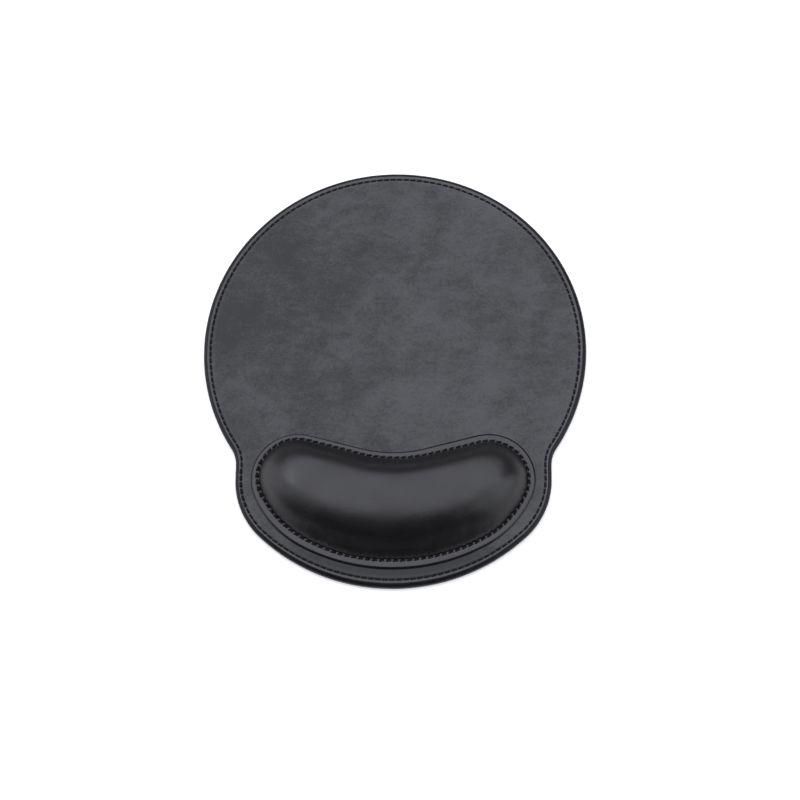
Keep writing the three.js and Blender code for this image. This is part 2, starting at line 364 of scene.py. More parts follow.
class Finish:
    def __init__(self, name, colour, roughness, shine=0.5):
        self.material = bpy.data.materials.new(name)
        self.material.use_nodes = True
        self.tree = self.material.node_tree
        self.shader = self.tree.nodes["Principled BSDF"]
        self.set("Base Color", (*colour, 1))
        self.set("Roughness", roughness)
        self.set("Specular IOR Level", shine)
        self.place = self.tree.nodes.new("ShaderNodeTexCoord").outputs["Object"]

    def feed(self, socket, value):
        if isinstance(value, bpy.types.NodeSocket):
            self.tree.links.new(value, socket)
        else:
            socket.default_value = value

    def set(self, name, value):
        self.feed(self.shader.inputs[name], value)

    def add(self, kind, inputs=(), **settings):
        node = self.tree.nodes.new(kind)
        for key, value in settings.items():
            setattr(node, key, value)
        for key, value in dict(inputs).items():
            self.feed(node.inputs[key], value)
        return node

    def moved(self, scale, turn=0.0):
        """The place turned and stretched, for a pattern that runs one way."""
        inputs = {"Vector": self.place, "Scale": scale, "Rotation": (0, 0, turn)}
        return self.add("ShaderNodeMapping", inputs).outputs["Vector"]

    def clouds(self, size, detail=2.0, rough=0.5, place=None):
        """Noise from 0 to 1 whose patches have about the given size."""
        inputs = {"Vector": place or self.place, "Scale": 1 / size, "Detail": detail, "Roughness": rough}
        return self.add("ShaderNodeTexNoise", inputs).outputs["Fac"]

    def cells(self, size, feature="F1"):
        inputs = {"Vector": self.place, "Scale": 1 / size}
        return self.add("ShaderNodeTexVoronoi", inputs, feature=feature).outputs["Distance"]

    def axis(self, letter, place=None):
        """The X, Y or Z of a place, which is by default the place on the piece."""
        return self.add("ShaderNodeSeparateXYZ", {"Vector": place or self.place}).outputs[letter]

    def distance(self, spot=(0, 0, 0)):
        inputs = {0: self.place, 1: spot}
        return self.add("ShaderNodeVectorMath", inputs, operation="DISTANCE").outputs["Value"]

    def attribute(self, name):
        """A value that the mesh carries at its corners."""
        return self.add("ShaderNodeAttribute", attribute_name=name).outputs["Fac"]

    def maths(self, operation, first, second=0.0):
        return self.add("ShaderNodeMath", {0: first, 1: second}, operation=operation).outputs[0]

    def spread(self, value, start, end, low=0.0, high=1.0):
        """Stretches the part of a value between start and end over low to high, with soft ends."""
        inputs = {"Value": value, "From Min": start, "From Max": end, "To Min": low, "To Max": high}
        return self.add("ShaderNodeMapRange", inputs, interpolation_type="SMOOTHSTEP").outputs["Result"]

    def blend(self, factor, first, second):
        node = self.add("ShaderNodeMix", data_type="RGBA")
        self.feed(node.inputs["Factor"], factor)
        for socket, colour in ((node.inputs[6], first), (node.inputs[7], second)):
            self.feed(socket, (*colour, 1) if isinstance(colour, tuple) else colour)
        return node.outputs[2]

    def bump(self, height, depth, below=None):
        """A bump as deep as the given length where the height goes from 0 to 1."""
        inputs = {"Height": height, "Distance": depth, "Strength": 1.0}
        if below is not None:
            inputs["Normal"] = below
        return self.add("ShaderNodeBump", inputs).outputs["Normal"]


# %% [markdown]
# ### Upper leather
#
# The sheet that the mouse runs on is a matte coated leather with a brushed, cloudy look: broad darker and
# paler drifts, brushed streaks and fine flecks inside them, thin dark creases, and a closed grain that only
# shows close up. Four sizes of noise and the creases are added up for the colour. Painted shade on top of
# that makes it darker towards one side and in front of the wrist rest. The flecks and the grain give the
# bump. Beside the seam the colour is paler, a painted highlight along the welt, and the edge paint laps over
# its rim.

# %% Upper leather
COATING_COLOUR = (0.004, 0.004, 0.0046)
DARK_DRIFT = (0.035, 0.0357, 0.0371)
PALE_DRIFT = (0.0708, 0.072, 0.0731)
# A paler colour along the welt beside the seam: a painted highlight
WELT_PAINTED_HIGHLIGHT = (0.096, 0.0973, 0.0987)
WELT_HIGHLIGHT_SHARE = 0.6
DRIFT_SIZE = 34 * MM
STREAK_SIZE = 9 * MM
FLECK_SIZE = 1.6 * MM
FLECK_DEPTH = 0.05 * MM
SPECKLE_SIZE = 0.6 * MM
GRAIN_SIZE = 0.7 * MM
GRAIN_DEPTH = 0.03 * MM
# The tone adds up these shares of the drifts, streaks, flecks and speckle, and then the creases and the
# painted shades.
# The colour goes from dark to pale between the two tones of the range
TONE_SHARES = (0.38, 0.24, 0.2, 0.18)
TONE_RANGE = (0.36, 0.64)
# Painted shade: the tone is lowered near this place and raised a little at its reach and beyond
SHADED_SIDE = Vector((-95, 60, 5)) * MM
SHADED_SIDE_REACH = 130 * MM
SIDE_PAINTED_SHADES = (-0.095, 0.03)
# Painted shade darkens the leather in front of the rest, from the second place to the first
SHADED_FRONT = (-118 * MM, -92 * MM)
FRONT_PAINTED_SHADE = 0.24
CREASE_SPACING = 11 * MM
CREASE_WIDTH = 0.035
CREASE_SHADE = 0.05
UPPER_ROUGHNESS = (0.78, 0.66)
# The brush's strokes, how ragged they leave the paint's border, where it lies, and how much smoother paint is
STROKE_SIZE = 5 * MM
PAINT_RAGGED = 0.4
PAINT_BORDER = (0.55, 0.75)
PAINT_SMOOTHER = 0.2


def upper_leather():
    leather = Finish("upper leather", PALE_DRIFT, roughness=0.72, shine=0.25)
    drifts = leather.clouds(DRIFT_SIZE, 4.0, 0.62)
    brushed = leather.clouds(STREAK_SIZE, 3.0, 0.6, leather.moved((1, 1.7, 1), turn=0.5))
    flecks = leather.clouds(FLECK_SIZE, 2.0, 0.6)
    grain = leather.cells(GRAIN_SIZE, "SMOOTH_F1")
    speckle = leather.clouds(SPECKLE_SIZE, 1.0, 0.5)
    wander = leather.clouds(CREASE_SPACING, 4.0, 0.65, leather.moved((1, 1.5, 1), turn=-0.6))
    beside = leather.maths("ABSOLUTE", leather.maths("SUBTRACT", wander, 0.5))
    creases = leather.spread(beside, 0.0, CREASE_WIDTH, -CREASE_SHADE, 0.0)
    tone = creases
    for share, part in zip(TONE_SHARES, (drifts, brushed, flecks, speckle)):
        tone = leather.maths("ADD", tone, leather.maths("MULTIPLY", part, share))
    # Painted shade towards one side of the pad
    side = leather.distance(SHADED_SIDE)
    tone = leather.maths("ADD", tone, leather.spread(side, 0.0, SHADED_SIDE_REACH, *SIDE_PAINTED_SHADES))
    # Painted shade in front of the wrist rest
    front = leather.axis("Y")
    tone = leather.maths("ADD", tone, leather.spread(front, *SHADED_FRONT, -FRONT_PAINTED_SHADE, 0.0))
    cloudy = leather.blend(leather.spread(tone, *TONE_RANGE), DARK_DRIFT, PALE_DRIFT)
    # Painted highlight along the welt beside the seam
    welt_highlight = leather.maths("MULTIPLY", leather.attribute("welt_highlight"), WELT_HIGHLIGHT_SHARE)
    colour = leather.blend(welt_highlight, cloudy, WELT_PAINTED_HIGHLIGHT)
    strokes = leather.maths("MULTIPLY", leather.clouds(STROKE_SIZE, 2.0, 0.5), PAINT_RAGGED)
    painted = leather.maths("ADD", leather.attribute("painted"), strokes)
    painted = leather.spread(painted, *PAINT_BORDER)
    leather.set("Base Color", leather.blend(painted, colour, COATING_COLOUR))
    matte = leather.spread(tone, *NOISE_RANGE, *UPPER_ROUGHNESS)
    smoother = leather.maths("MULTIPLY", painted, PAINT_SMOOTHER)
    leather.set("Roughness", leather.maths("SUBTRACT", matte, smoother))
    coarse = leather.bump(flecks, FLECK_DEPTH)
    leather.set("Normal", leather.bump(grain, GRAIN_DEPTH, coarse))
    return leather.material


# %% [markdown]
# ## Upper sheet
#
# One flat sheet of leather, thinned towards its edge. The seam sinks into it and pulls it down at every
# needle hole, and outside the seam the sheet stands up again as a soft rounded welt. From there a bevel
# runs down to the cut edge, under the paint. It is a loft of rings from the hidden underside, up the bevel
# and over the welt to the flat field, which is then cut into a grid and let wander by a few hundredths of a
# millimetre.

# %% Rim that the three layers share
RIM_SEAM_INSET = 4.0 * MM
SHEET_INSET = 0.95 * MM
# A hand guides the pad under the needle, so the seam comes closer to the edge at the waist. Each pair is a
# place from front to back, and the seam's distance from the edge there
SEAM_DRIFT = [
    (-125, 4.5), (-110, 3.85), (-95, 3.45), (-60, 3.6), (-30, 3.65), (0, 4.05), (80, 4.45), (125, 4.45),
]
# Outside this distance from the edge, the sections don't follow the seam
RIM_START = 1.2 * MM


def drifting_seam(track):
    places, insets = np.array(SEAM_DRIFT).T * MM
    return np.interp(track.place[:, 1], places, insets)


def rim_inset(seam, distance):
    """A distance from the edge, stretched so that the sections keep to the seam as it wanders."""
    share = min(max((distance - RIM_START) / (RIM_SEAM_INSET - RIM_START), 0), 1)
    return distance + (seam - RIM_SEAM_INSET) * share


rim = Track(pad_outline, RIM_SEAM_INSET, 8)
rim_seam = drifting_seam(rim)
print("rim seam has", rim.stitches, "stitches")

# %% Section of the upper sheet's edge
sheet_bottom, sheet_top = (corner.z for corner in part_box("top_sheet"))
# Each step is how far in from the edge, how high above the flat field, how much a hole lowers it, how much
# painted highlight makes the leather paler there, and how much edge paint covers it
UPPER_SHEET_STEPS = [
    (0.96, -1.1, 0.0, 0.0, 1.0), (1.3, -0.74, 0.0, 0.0, 1.0), (1.65, -0.52, 0.0, 0.0, 1.0),
    (1.95, -0.34, 0.0, 0.0, 1.0), (2.15, -0.18, 0.0, 0.5, 0.7), (2.32, -0.09, 0.0, 1.0, 0.3),
    (2.52, -0.03, 0.02, 1.0, 0.0), (2.85, -0.02, 0.03, 1.0, 0.0), (3.12, -0.06, 0.04, 0.9, 0.0),
    (3.34, -0.14, 0.06, 0.6, 0.0), (3.56, -0.25, 0.08, 0.3, 0.0), (3.78, -0.36, 0.1, 0.1, 0.0),
    (4.0, -0.42, 0.12, 0.0, 0.0), (4.22, -0.36, 0.1, 0.0, 0.0), (4.44, -0.25, 0.08, 0.1, 0.0),
    (4.7, -0.13, 0.06, 0.2, 0.0), (5.05, -0.03, 0.04, 0.3, 0.0), (5.5, 0.03, 0.02, 0.3, 0.0),
    (6.2, 0.02, 0.0, 0.1, 0.0),
]
FLAT_FIELD_INSET = 7.6 * MM
FLAT_RIM_WIDTH = 0.5 * MM
FIELD_GRID = 6 * MM
FIELD_WANDER = 0.05 * MM
FIELD_WANDER_SIZE = 28 * MM

rings = [rim.ring(SHEET_INSET, sheet_bottom)]
for distance, rise, dip, _, _ in UPPER_SHEET_STEPS:
    height = sheet_top + (rise - dip * rim.hole) * MM
    rings.append(rim.ring(rim_inset(rim_seam, distance * MM), height))
for inset in (FLAT_FIELD_INSET - FLAT_RIM_WIDTH, FLAT_FIELD_INSET):
    rings.append(rim.ring(inset, sheet_top))
bm = bmesh.new()
welt_highlight = bm.verts.layers.float.new("welt_highlight")
painted = bm.verts.layers.float.new("painted")
loops = loft(bm, rings)
for loop, step in zip(loops[1:], UPPER_SHEET_STEPS):
    for corner in loop:
        corner[welt_highlight] = step[3]
        corner[painted] = step[4]
fill_loop(bm, loops[0])
for corner in cut_into_grid(bm, fill_loop(bm, loops[-1]), FIELD_GRID):
    corner.co.z += FIELD_WANDER * noise.noise(corner.co / FIELD_WANDER_SIZE)
add_piece(bm, "top_sheet_leather", "top_sheet", upper_leather())

# %% [markdown]
# ### Underside leather
#
# The underside is the same kind of coated sheet in grey, embossed with rows of small scales so that it
# grips the desk. The scales themselves are modelled. The finish adds the fine pitting of the coating,
# a slight change of tone from place to place, and painted shade that makes the grooves darker than the
# scales.

# %% Underside leather
UNDERSIDE_DARK = (0.075, 0.077, 0.086)
UNDERSIDE_PALE = (0.112, 0.114, 0.122)
# Painted shade in the grooves between the scales
GROOVE_PAINTED_SHADE = (0.02, 0.021, 0.026)
UNDERSIDE_ROUGHNESS = (0.6, 0.76)
UNDERSIDE_TONES = (0.35, 0.65)
UNDERSIDE_TONE_SIZE = 14 * MM
PIT_SIZE = 0.45 * MM
PIT_DEPTH = 0.04 * MM
SCALE_RISE = 0.22 * MM
# The share of a groove's depth at which its painted shade begins
GROOVE_SHADE_START = 0.35


def underside_leather():
    leather = Finish("underside leather", UNDERSIDE_PALE, roughness=0.68)
    tone = leather.clouds(UNDERSIDE_TONE_SIZE, 3.0, 0.55)
    pits = leather.clouds(PIT_SIZE, 2.0, 0.6)
    base = leather.blend(leather.spread(tone, *UNDERSIDE_TONES), UNDERSIDE_DARK, UNDERSIDE_PALE)
    # Painted shade in the grooves between the scales
    depth = leather.spread(leather.axis("Z"), GROOVE_SHADE_START * SCALE_RISE, SCALE_RISE)
    leather.set("Base Color", leather.blend(depth, base, GROOVE_PAINTED_SHADE))
    leather.set("Roughness", leather.spread(pits, *NOISE_RANGE, *UNDERSIDE_ROUGHNESS))
    leather.set("Normal", leather.bump(pits, PIT_DEPTH))
    return leather.material


# %% [markdown]
# ## Underside sheet
#
# The inset of the photograph shows rows of flat scales, each about twice as long as it is wide, every
# other row moved along by half a scale. That is a brick wall, so the flat face is cut into rows and each
# row into bricks. Where a brick ends in the middle of its neighbour's long side, the neighbour gets a
# corner there, and moving that corner outwards rounds the scale. Two insets and a poke then raise every
# whole scale into a low pillow with a dimple. The pieces of scales beside the seam get one inset, and the
# smallest of them stay flat.

# %% Cut a face into staggered scales
SCALE_LENGTH = 4.0 * MM
SCALE_WIDTH = 1.9 * MM
SCALE_BOW = 0.24 * MM
SCALE_SLOPE = 0.26 * MM
SCALE_CROWN = 0.42 * MM
SCALE_DIMPLE = 0.07 * MM
# The shares of the rise in the first slope and in the second
SLOPE_SHARES = (0.72, 0.28)
# The least share of a scale's area that makes it a whole one, and a cut one
WHOLE_SCALE_SHARE = 0.97
CUT_SCALE_SHARE = 0.3


def cut_into_scales(bm, face):
    """Rows along x, and bricks along each row. Returns the whole scales and those cut by the rim."""
    low, high = box_of(face)
    middle = (low + high) / 2
    rows = [face]
    half_rows = math.ceil((high.y - low.y) / SCALE_WIDTH / 2)
    for i in range(-half_rows, half_rows + 1):
        rows = cut_faces(bm, rows, middle + Vector((0, i * SCALE_WIDTH, 0)), Vector((0, 1, 0)))
    half_bricks = math.ceil((high.x - low.x) / SCALE_LENGTH / 2)
    scales = []
    for parity in (0, 1):
        bricks = [
            row for row in rows
            if math.floor((row.calc_center_median().y - middle.y) / SCALE_WIDTH) % 2 == parity
        ]
        for i in range(-half_bricks, half_bricks + 1):
            offset = Vector(((i + parity / 2) * SCALE_LENGTH, 0, 0))
            bricks = cut_faces(bm, bricks, middle + offset, Vector((1, 0, 0)))
        scales.extend(bricks)
    shares = [scale.calc_area() / (SCALE_LENGTH * SCALE_WIDTH) for scale in scales]
    whole = [scale for scale, share in zip(scales, shares) if share > WHOLE_SCALE_SHARE]
    cut = [scale for scale, share in zip(scales, shares) if CUT_SCALE_SHARE < share <= WHOLE_SCALE_SHARE]
    return whole, cut


def bow_scales(whole):
    """Moves the corner in the middle of each long side outwards, which makes the side a shallow bow."""
    for scale in whole:
        middle = scale.calc_center_bounds()
        for corner in scale.verts:
            if abs(corner.co.x - middle.x) < SCALE_LENGTH / 8 and all(
                face.calc_area() > SCALE_WIDTH * SCALE_LENGTH / 2 for face in corner.link_faces
            ):
                side = math.copysign(1, corner.co.y - middle.y)
                corner.co.y = middle.y + side * (SCALE_WIDTH / 2 + SCALE_BOW)


def raise_scales(bm, whole, cut):
    """Raises each scale away from the sheet, here downwards, and presses a whole one's middle in."""
    for scales, slope, rise in (
        (whole + cut, SCALE_SLOPE, SLOPE_SHARES[0] * SCALE_RISE),
        (whole, SCALE_CROWN, SLOPE_SHARES[1] * SCALE_RISE),
    ):
        bmesh.ops.inset_individual(bm, faces=scales, thickness=slope, depth=0, use_even_offset=False)
        corners = list({corner for scale in scales for corner in scale.verts})
        bmesh.ops.translate(bm, verts=corners, vec=(0, 0, -rise))
    middles = bmesh.ops.poke(bm, faces=whole)["verts"]
    bmesh.ops.translate(bm, verts=middles, vec=(0, 0, SCALE_DIMPLE))


# %% Underside sheet
under = Track(pad_outline, RIM_SEAM_INSET, 4)
under_seam = drifting_seam(under)
base_bottom, base_top = (corner.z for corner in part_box("base_sheet"))
# Each step is how far in from the edge and how high above the desk, and how much a hole sinks it
UNDERSIDE_STEPS = [
    (0.95, 0.42, 0.0), (1.05, 0.26, 0.0), (1.35, 0.12, 0.0), (1.9, 0.03, 0.0), (2.9, 0.03, 0.01),
    (3.4, 0.13, 0.04), (3.7, 0.42, 0.08), (4.0, 0.62, 0.1), (4.3, 0.42, 0.08), (4.6, 0.24, 0.03),
]
SCALES_INSET = 5.4 * MM

rings = [under.ring(SHEET_INSET, base_top)]
for distance, rise, sink in UNDERSIDE_STEPS:
    height = base_bottom + (rise + sink * under.hole) * MM
    rings.append(under.ring(rim_inset(under_seam, distance * MM), height))
rings.append(under.ring(SCALES_INSET, base_bottom + SCALE_RISE))
bm = bmesh.new()
loops = loft(bm, rings)
fill_loop(bm, loops[0])
whole, cut = cut_into_scales(bm, fill_loop(bm, loops[-1]))
bow_scales(whole)
raise_scales(bm, whole, cut)
print(len(whole), "whole scales and", len(cut), "cut ones")
add_piece(bm, "base_sheet_scales", "base_sheet", underside_leather())

# %% [markdown]
# ### Edge coating
#
# The cut edge of a leather sandwich is sealed with several brushed coats of a thick black paint, rubbed
# down between coats. It dries glossier than leather, with faint brush waves, and at the bottom edge,
# where the last coat is thin, the brown board shows through.

# %% Edge coating finish
COATING_BROWN = (0.032, 0.012, 0.009)
# Heights above the desk between which the brown fades out
COATING_FADE = (0.15 * MM, 0.45 * MM)
COATING_ROUGHNESS = (0.34, 0.52)
BRUSH_WAVE_SIZE = 3 * MM
BRUSH_WAVE_DEPTH = 0.06 * MM


def edge_coating_finish():
    coating = Finish("edge coating", COATING_COLOUR, roughness=0.36, shine=0.24)
    brushed = coating.clouds(BRUSH_WAVE_SIZE, 3.0, 0.55, coating.moved((1, 1, 5)))
    thin = coating.spread(coating.axis("Z"), *COATING_FADE, 1, 0)
    coating.set("Base Color", coating.blend(thin, COATING_COLOUR, COATING_BROWN))
    coating.set("Roughness", coating.spread(brushed, *NOISE_RANGE, *COATING_ROUGHNESS))
    coating.set("Normal", coating.bump(brushed, BRUSH_WAVE_DEPTH))
    return coating.material


# %% [markdown]
# ## Coated edge
#
# A rounded bead runs round the pad and wraps the edge of all three layers, and its lip laps up the bevel of
# the upper leather. Its section is a list of points, and it wavers a little on both sides, as a hand-painted
# edge does.

# %% Coated edge
coating_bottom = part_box("edge_coating")[0].z
COATING_DEPTH = 0.9 * MM
COATING_WAVER = 0.05 * MM
COATING_WAVER_SIZE = 9 * MM
LIP_WAVER = 0.14 * MM
LIP_WAVER_SIZE = 5 * MM
# Each point is how far in from the edge, and how high above the lowest coat
COATING_SECTION = [
    (0.9, 0.2), (0.9, 3.6), (1.3, 3.86), (1.75, 4.16), (2.05, 4.34), (2.22, 4.49), (2.16, 4.57),
    (1.96, 4.51), (1.66, 4.35), (1.3, 4.14), (0.95, 3.91), (0.7, 3.7), (0.48, 3.47), (0.3, 3.22),
    (0.15, 2.88), (0.05, 2.45), (0.0, 1.9), (0.01, 1.35), (0.08, 0.8), (0.22, 0.38), (0.41, 0.13),
    (0.63, 0.04),
]

outer = COATING_WAVER * (rim.waver(COATING_WAVER_SIZE) + 1)
lip = LIP_WAVER * rim.waver(LIP_WAVER_SIZE)
rings = []
for distance, height in COATING_SECTION:
    inset = rim_inset(rim_seam, distance * MM)
    inset = inset + outer * max(1 - distance * MM / COATING_DEPTH, 0)
    inset = inset + lip * max(distance * MM / COATING_DEPTH - 1, 0)
    rings.append(rim.ring(inset, coating_bottom + height * MM))
bm = bmesh.new()
loops = loft(bm, rings)
bmesh.ops.bridge_loops(bm, edges=edges_round(bm, loops[0]) + edges_round(bm, loops[-1]))
add_piece(bm, "edge_bead", "edge_coating", edge_coating_finish())

# %% [markdown]
# ### Board
#
# The board keeps its solid from the model, because its shape is right as it is. Grey-brown pulp board
# shows short fibres that lie every way, so two stretched noises at right angles make its tone.

# %% Board finish on the model's own solid
BOARD_DARK = (0.105, 0.06, 0.036)
BOARD_PALE = (0.2, 0.125, 0.08)
FIBRE_WIDTH = 0.6 * MM
FIBRE_DEPTH = 0.08 * MM
FIBRE_STRETCH = 0.15
FIBRE_TONES = (0.4, 0.75)


def board_finish():
    board = Finish("pulp board", BOARD_PALE, roughness=0.88)
    long_way = board.clouds(FIBRE_WIDTH, 3.0, 0.6, board.moved((1, FIBRE_STRETCH, 1)))
    short_way = board.clouds(FIBRE_WIDTH, 3.0, 0.6, board.moved((FIBRE_STRETCH, 1, 1)))
    fibres = board.maths("MAXIMUM", long_way, short_way)
    board.set("Base Color", board.blend(board.spread(fibres, *FIBRE_TONES), BOARD_DARK, BOARD_PALE))
    board.set("Normal", board.bump(fibres, FIBRE_DEPTH))
    return board.material


def dress_solid(node, finish):
    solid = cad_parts[node]
    solid.data.materials.clear()
    solid.data.materials.append(finish)
    print(node, "keeps its solid, with", len(solid.data.polygons), "triangles")


dress_solid("core_board", board_finish())

# %% [markdown]
# ### Thread
#
# The thread is bonded polyester, three plies twisted together. Its UV map runs once round and once along
# each stitch, so a wave across both gives the twist, and the grooves between the plies get painted shade.

# %% Thread finish
# Painted shade in the grooves between the plies
THREAD_GROOVE_SHADE = (0.002, 0.002, 0.0025)
THREAD_PLY = (0.008, 0.008, 0.0095)
THREAD_ROUGHNESS = (0.5, 0.7)
FUZZ_SIZE = 0.12 * MM
PLY_DEPTH = 0.09 * MM
PLIES = 3
TWISTS_PER_STITCH = 2.5


def thread_finish():
    thread = Finish("black thread", THREAD_PLY, roughness=0.5, shine=0.14)
    along_and_round = thread.add("ShaderNodeUVMap", uv_map="twist").outputs["UV"]
    along = thread.maths("MULTIPLY", thread.axis("X", along_and_round), TWISTS_PER_STITCH * PLIES)
    round_it = thread.maths("MULTIPLY", thread.axis("Y", along_and_round), PLIES)
    turns = thread.maths("ADD", along, round_it)
    plies = thread.maths("ABSOLUTE", thread.maths("SINE", thread.maths("MULTIPLY", turns, math.pi)))
    fuzz = thread.clouds(FUZZ_SIZE, 2.0, 0.6)
    # Painted shade in the grooves between the plies
    thread.set("Base Color", thread.blend(plies, THREAD_GROOVE_SHADE, THREAD_PLY))
    thread.set("Roughness", thread.spread(fuzz, *NOISE_RANGE, *THREAD_ROUGHNESS))
    thread.set("Normal", thread.bump(plies, PLY_DEPTH))
    return thread.material


black_thread = thread_finish()

# %% [markdown]
# ## Stitches
#
# A lockstitch shows one short length of thread from hole to hole on each face. One stitch is made here,
# as a small tube whose ends dive into the leather. It is then laid once for each pair of holes, turned to
# follow the seam, with a slight slant and small differences so that no two are quite alike.

# %% One stitch
THREAD_SIDES = 6
# Each step is the share of half a stitch from its middle, the height of its axis, and its thickness
STITCH_STEPS = [
    (-0.88, -0.82, 0.7), (-0.8, -0.48, 0.86), (-0.64, -0.1, 0.98), (-0.34, 0.1, 1.0), (0.0, 0.16, 1.0),
    (0.34, 0.1, 1.0), (0.64, -0.1, 0.98), (0.8, -0.48, 0.86), (0.88, -0.82, 0.7),
]


def make_stitch_mesh(radius):
    angles = 2 * np.pi * np.arange(THREAD_SIDES) / THREAD_SIDES
    rings = []
    for along, height, thickness in STITCH_STEPS:
        reach = radius * thickness
        rings.append(np.column_stack([
            np.full(THREAD_SIDES, along * STITCH_PITCH / 2),
            reach * np.cos(angles),
            height * MM + reach * np.sin(angles),
        ]))
    bm = bmesh.new()
    loops = closed_loft(bm, rings)
    bmesh.ops.recalc_face_normals(bm, faces=bm.faces)
    twist = bm.loops.layers.uv.new("twist")
    spot = {corner: (k, i) for k, loop in enumerate(loops) for i, corner in enumerate(loop)}
    for face in bm.faces:
        turns = [spot[loop.vert][1] for loop in face.loops]
        crosses = max(turns) - min(turns) > THREAD_SIDES / 2
        for loop in face.loops:
            step, turn = spot[loop.vert]
            turn += THREAD_SIDES if crosses and turn == 0 else 0
            loop[twist].uv = (step / (len(loops) - 1), turn / THREAD_SIDES)
    return finished_mesh(bm, "stitch")


# %% Sew a seam
# How far a stitch may turn, stray sideways and lift, and how much its width and height may change
STITCH_WOBBLE = math.radians(3)
STITCH_STRAY = 0.06 * MM
STITCH_LIFT = 0.03 * MM
STITCH_WIDER = 0.06
STITCH_HIGHER = 0.08
# Where the chances for the stitches are read from the noise, and how far apart
CHANCE_PLACE = 0.37
CHANCE_SPACING = 0.731
# A second stitch over the first lies beside it, higher, and slants the other way
DOUBLED_SHIFT = 0.42 * MM
DOUBLED_RISE = 0.22 * MM


def sew(name, node, stitch, line, height, steps, slant, over, doubled=()):
    """One stitch between each pair of holes. over is 1 on an upper face and -1 on a lower one."""
    bm = bmesh.new()
    count = len(line) // steps
    for number in range(count):
        start, end = (Vector(line[(number + side) * steps % len(line)]) for side in (0, 1))
        middle = Vector(line[number * steps + steps // 2])
        way = end - start
        chance = noise.noise(Vector((number * CHANCE_SPACING, over, CHANCE_PLACE)))
        turn = math.atan2(way.y, way.x) + slant * over + STITCH_WOBBLE * chance
        flip = Matrix.Rotation(0 if over > 0 else math.pi, 4, "X")
        size = Matrix.Diagonal((
            way.length / STITCH_PITCH, 1 + STITCH_WIDER * chance, 1 + STITCH_HIGHER * chance, 1,
        ))
        layers = 2 if number in doubled else 1
        for layer in range(layers):
            side = Vector((-way.y, way.x, 0)).normalized()
            place = middle + side * (STITCH_STRAY * chance + layer * DOUBLED_SHIFT)
            place.z = height + over * (layer * DOUBLED_RISE + STITCH_LIFT * chance)
            before = set(bm.verts)
            bm.from_mesh(stitch)
            fresh = [corner for corner in bm.verts if corner not in before]
            spin = Matrix.Rotation(turn - layer * 2 * slant * over, 4, "Z")
            bmesh.ops.transform(bm, matrix=Matrix.Translation(place) @ spin @ flip @ size, verts=fresh)
    add_piece(bm, name, node, black_thread)


# %% [markdown]
# ### Where the seams start and end
#
# A machine seam is locked by sewing its last few stitches over its first ones. On the pad this is on the
# left of the foot, and on the wrist rest at its left end, so the thread there is double and stands proud.

# %% Doubled stitches
LOCK_STITCHES = 6


def stitches_near(line, steps, place):
    """Numbers of the stitches closest to a place on the page, which are sewn twice."""
    middles = line[steps // 2::steps, :2]
    order = np.argsort(np.linalg.norm(middles - np.array(place), axis=1))
    return {int(number) for number in order[:LOCK_STITCHES]}


# %% Rim threads, above and below
RIM_THREAD_RADIUS = 0.6 * MM
RIM_STITCH_SLANT = math.radians(4)
RIM_LOCK_PLACE = Vector((-83, -67)) * MM
# How deep the stitches lie in the upper sheet and in the base sheet
RIM_SINK_ABOVE = 0.2 * MM
RIM_SINK_BELOW = 0.86 * MM
rim_stitch = make_stitch_mesh(RIM_THREAD_RADIUS)
rim_line = rim.ring(rim_seam, 0)
rim_doubled = stitches_near(rim_line, rim.steps, RIM_LOCK_PLACE)
for name, node, height, over, doubled in (
    ("rim_stitches_above", "rim_needle_thread", sheet_top - RIM_SINK_ABOVE, 1, rim_doubled),
    ("rim_stitches_below", "rim_bobbin_thread", base_bottom + RIM_SINK_BELOW, -1, ()),
):
    sew(name, node, rim_stitch, rim_line, height, rim.steps, RIM_STITCH_SLANT, over, doubled)

# %% [markdown]
# ### Cushion leather
#
# The wrist rest is covered in a smooth, dressed black leather. It reflects a lamp as a broad soft sheen,
# so its finish is nearly all in the roughness: a little uneven where it has been handled, with fine pores
# and the faintest wrinkling.

# %% Cushion leather
CUSHION_COLOUR = (0.002, 0.002, 0.0023)
CUSHION_PALE = (0.004, 0.004, 0.0045)
# The flat flange and its seam are painted paler: a painted sheen
HEM_PAINTED_SHEEN = (0.014, 0.014, 0.0155)
CUSHION_ROUGHNESS = (0.4, 0.32)
HANDLED_TONES = (0.35, 0.7)
HANDLED_SIZE = 16 * MM
WRINKLE_SIZE = 1.8 * MM
WRINKLE_DEPTH = 0.05 * MM
PORE_SIZE = 0.55 * MM
PORE_DEPTH = 0.012 * MM


def cushion_leather():
    leather = Finish("cushion leather", CUSHION_COLOUR, roughness=0.42, shine=0.54)
    handled = leather.clouds(HANDLED_SIZE, 3.0, 0.55)
    pores = leather.cells(PORE_SIZE, "SMOOTH_F1")
    wrinkles = leather.clouds(WRINKLE_SIZE, 3.0, 0.6)
    colour = leather.blend(leather.spread(handled, *HANDLED_TONES), CUSHION_COLOUR, CUSHION_PALE)
    # Painted sheen on the hem
    leather.set("Base Color", leather.blend(leather.attribute("hem_sheen"), colour, HEM_PAINTED_SHEEN))
    leather.set("Roughness", leather.spread(handled, *NOISE_RANGE, *CUSHION_ROUGHNESS))
    soft = leather.bump(wrinkles, WRINKLE_DEPTH)
    leather.set("Normal", leather.bump(pores, PORE_DEPTH, soft))
    return leather.material


# %% [markdown]
# ## Wrist rest: from flange to ridge
#
# The cover is one piece of leather: a narrow flange that lies on the pad, a seam that pulls it down, and
# a crown that swells up from the seam to a ridge bent like the rest itself. A ring of the crown lies a
# share of the way from the ridge to the seam. Its height adds up two curves: a short wall that stands
# nearly upright at the seam, and a dome over it. The wall is higher and the dome fuller at the back than
# at the front, where the hand slides over the cushion.

# %% Seam of the wrist rest
HEM_WIDTH = 3.6 * MM
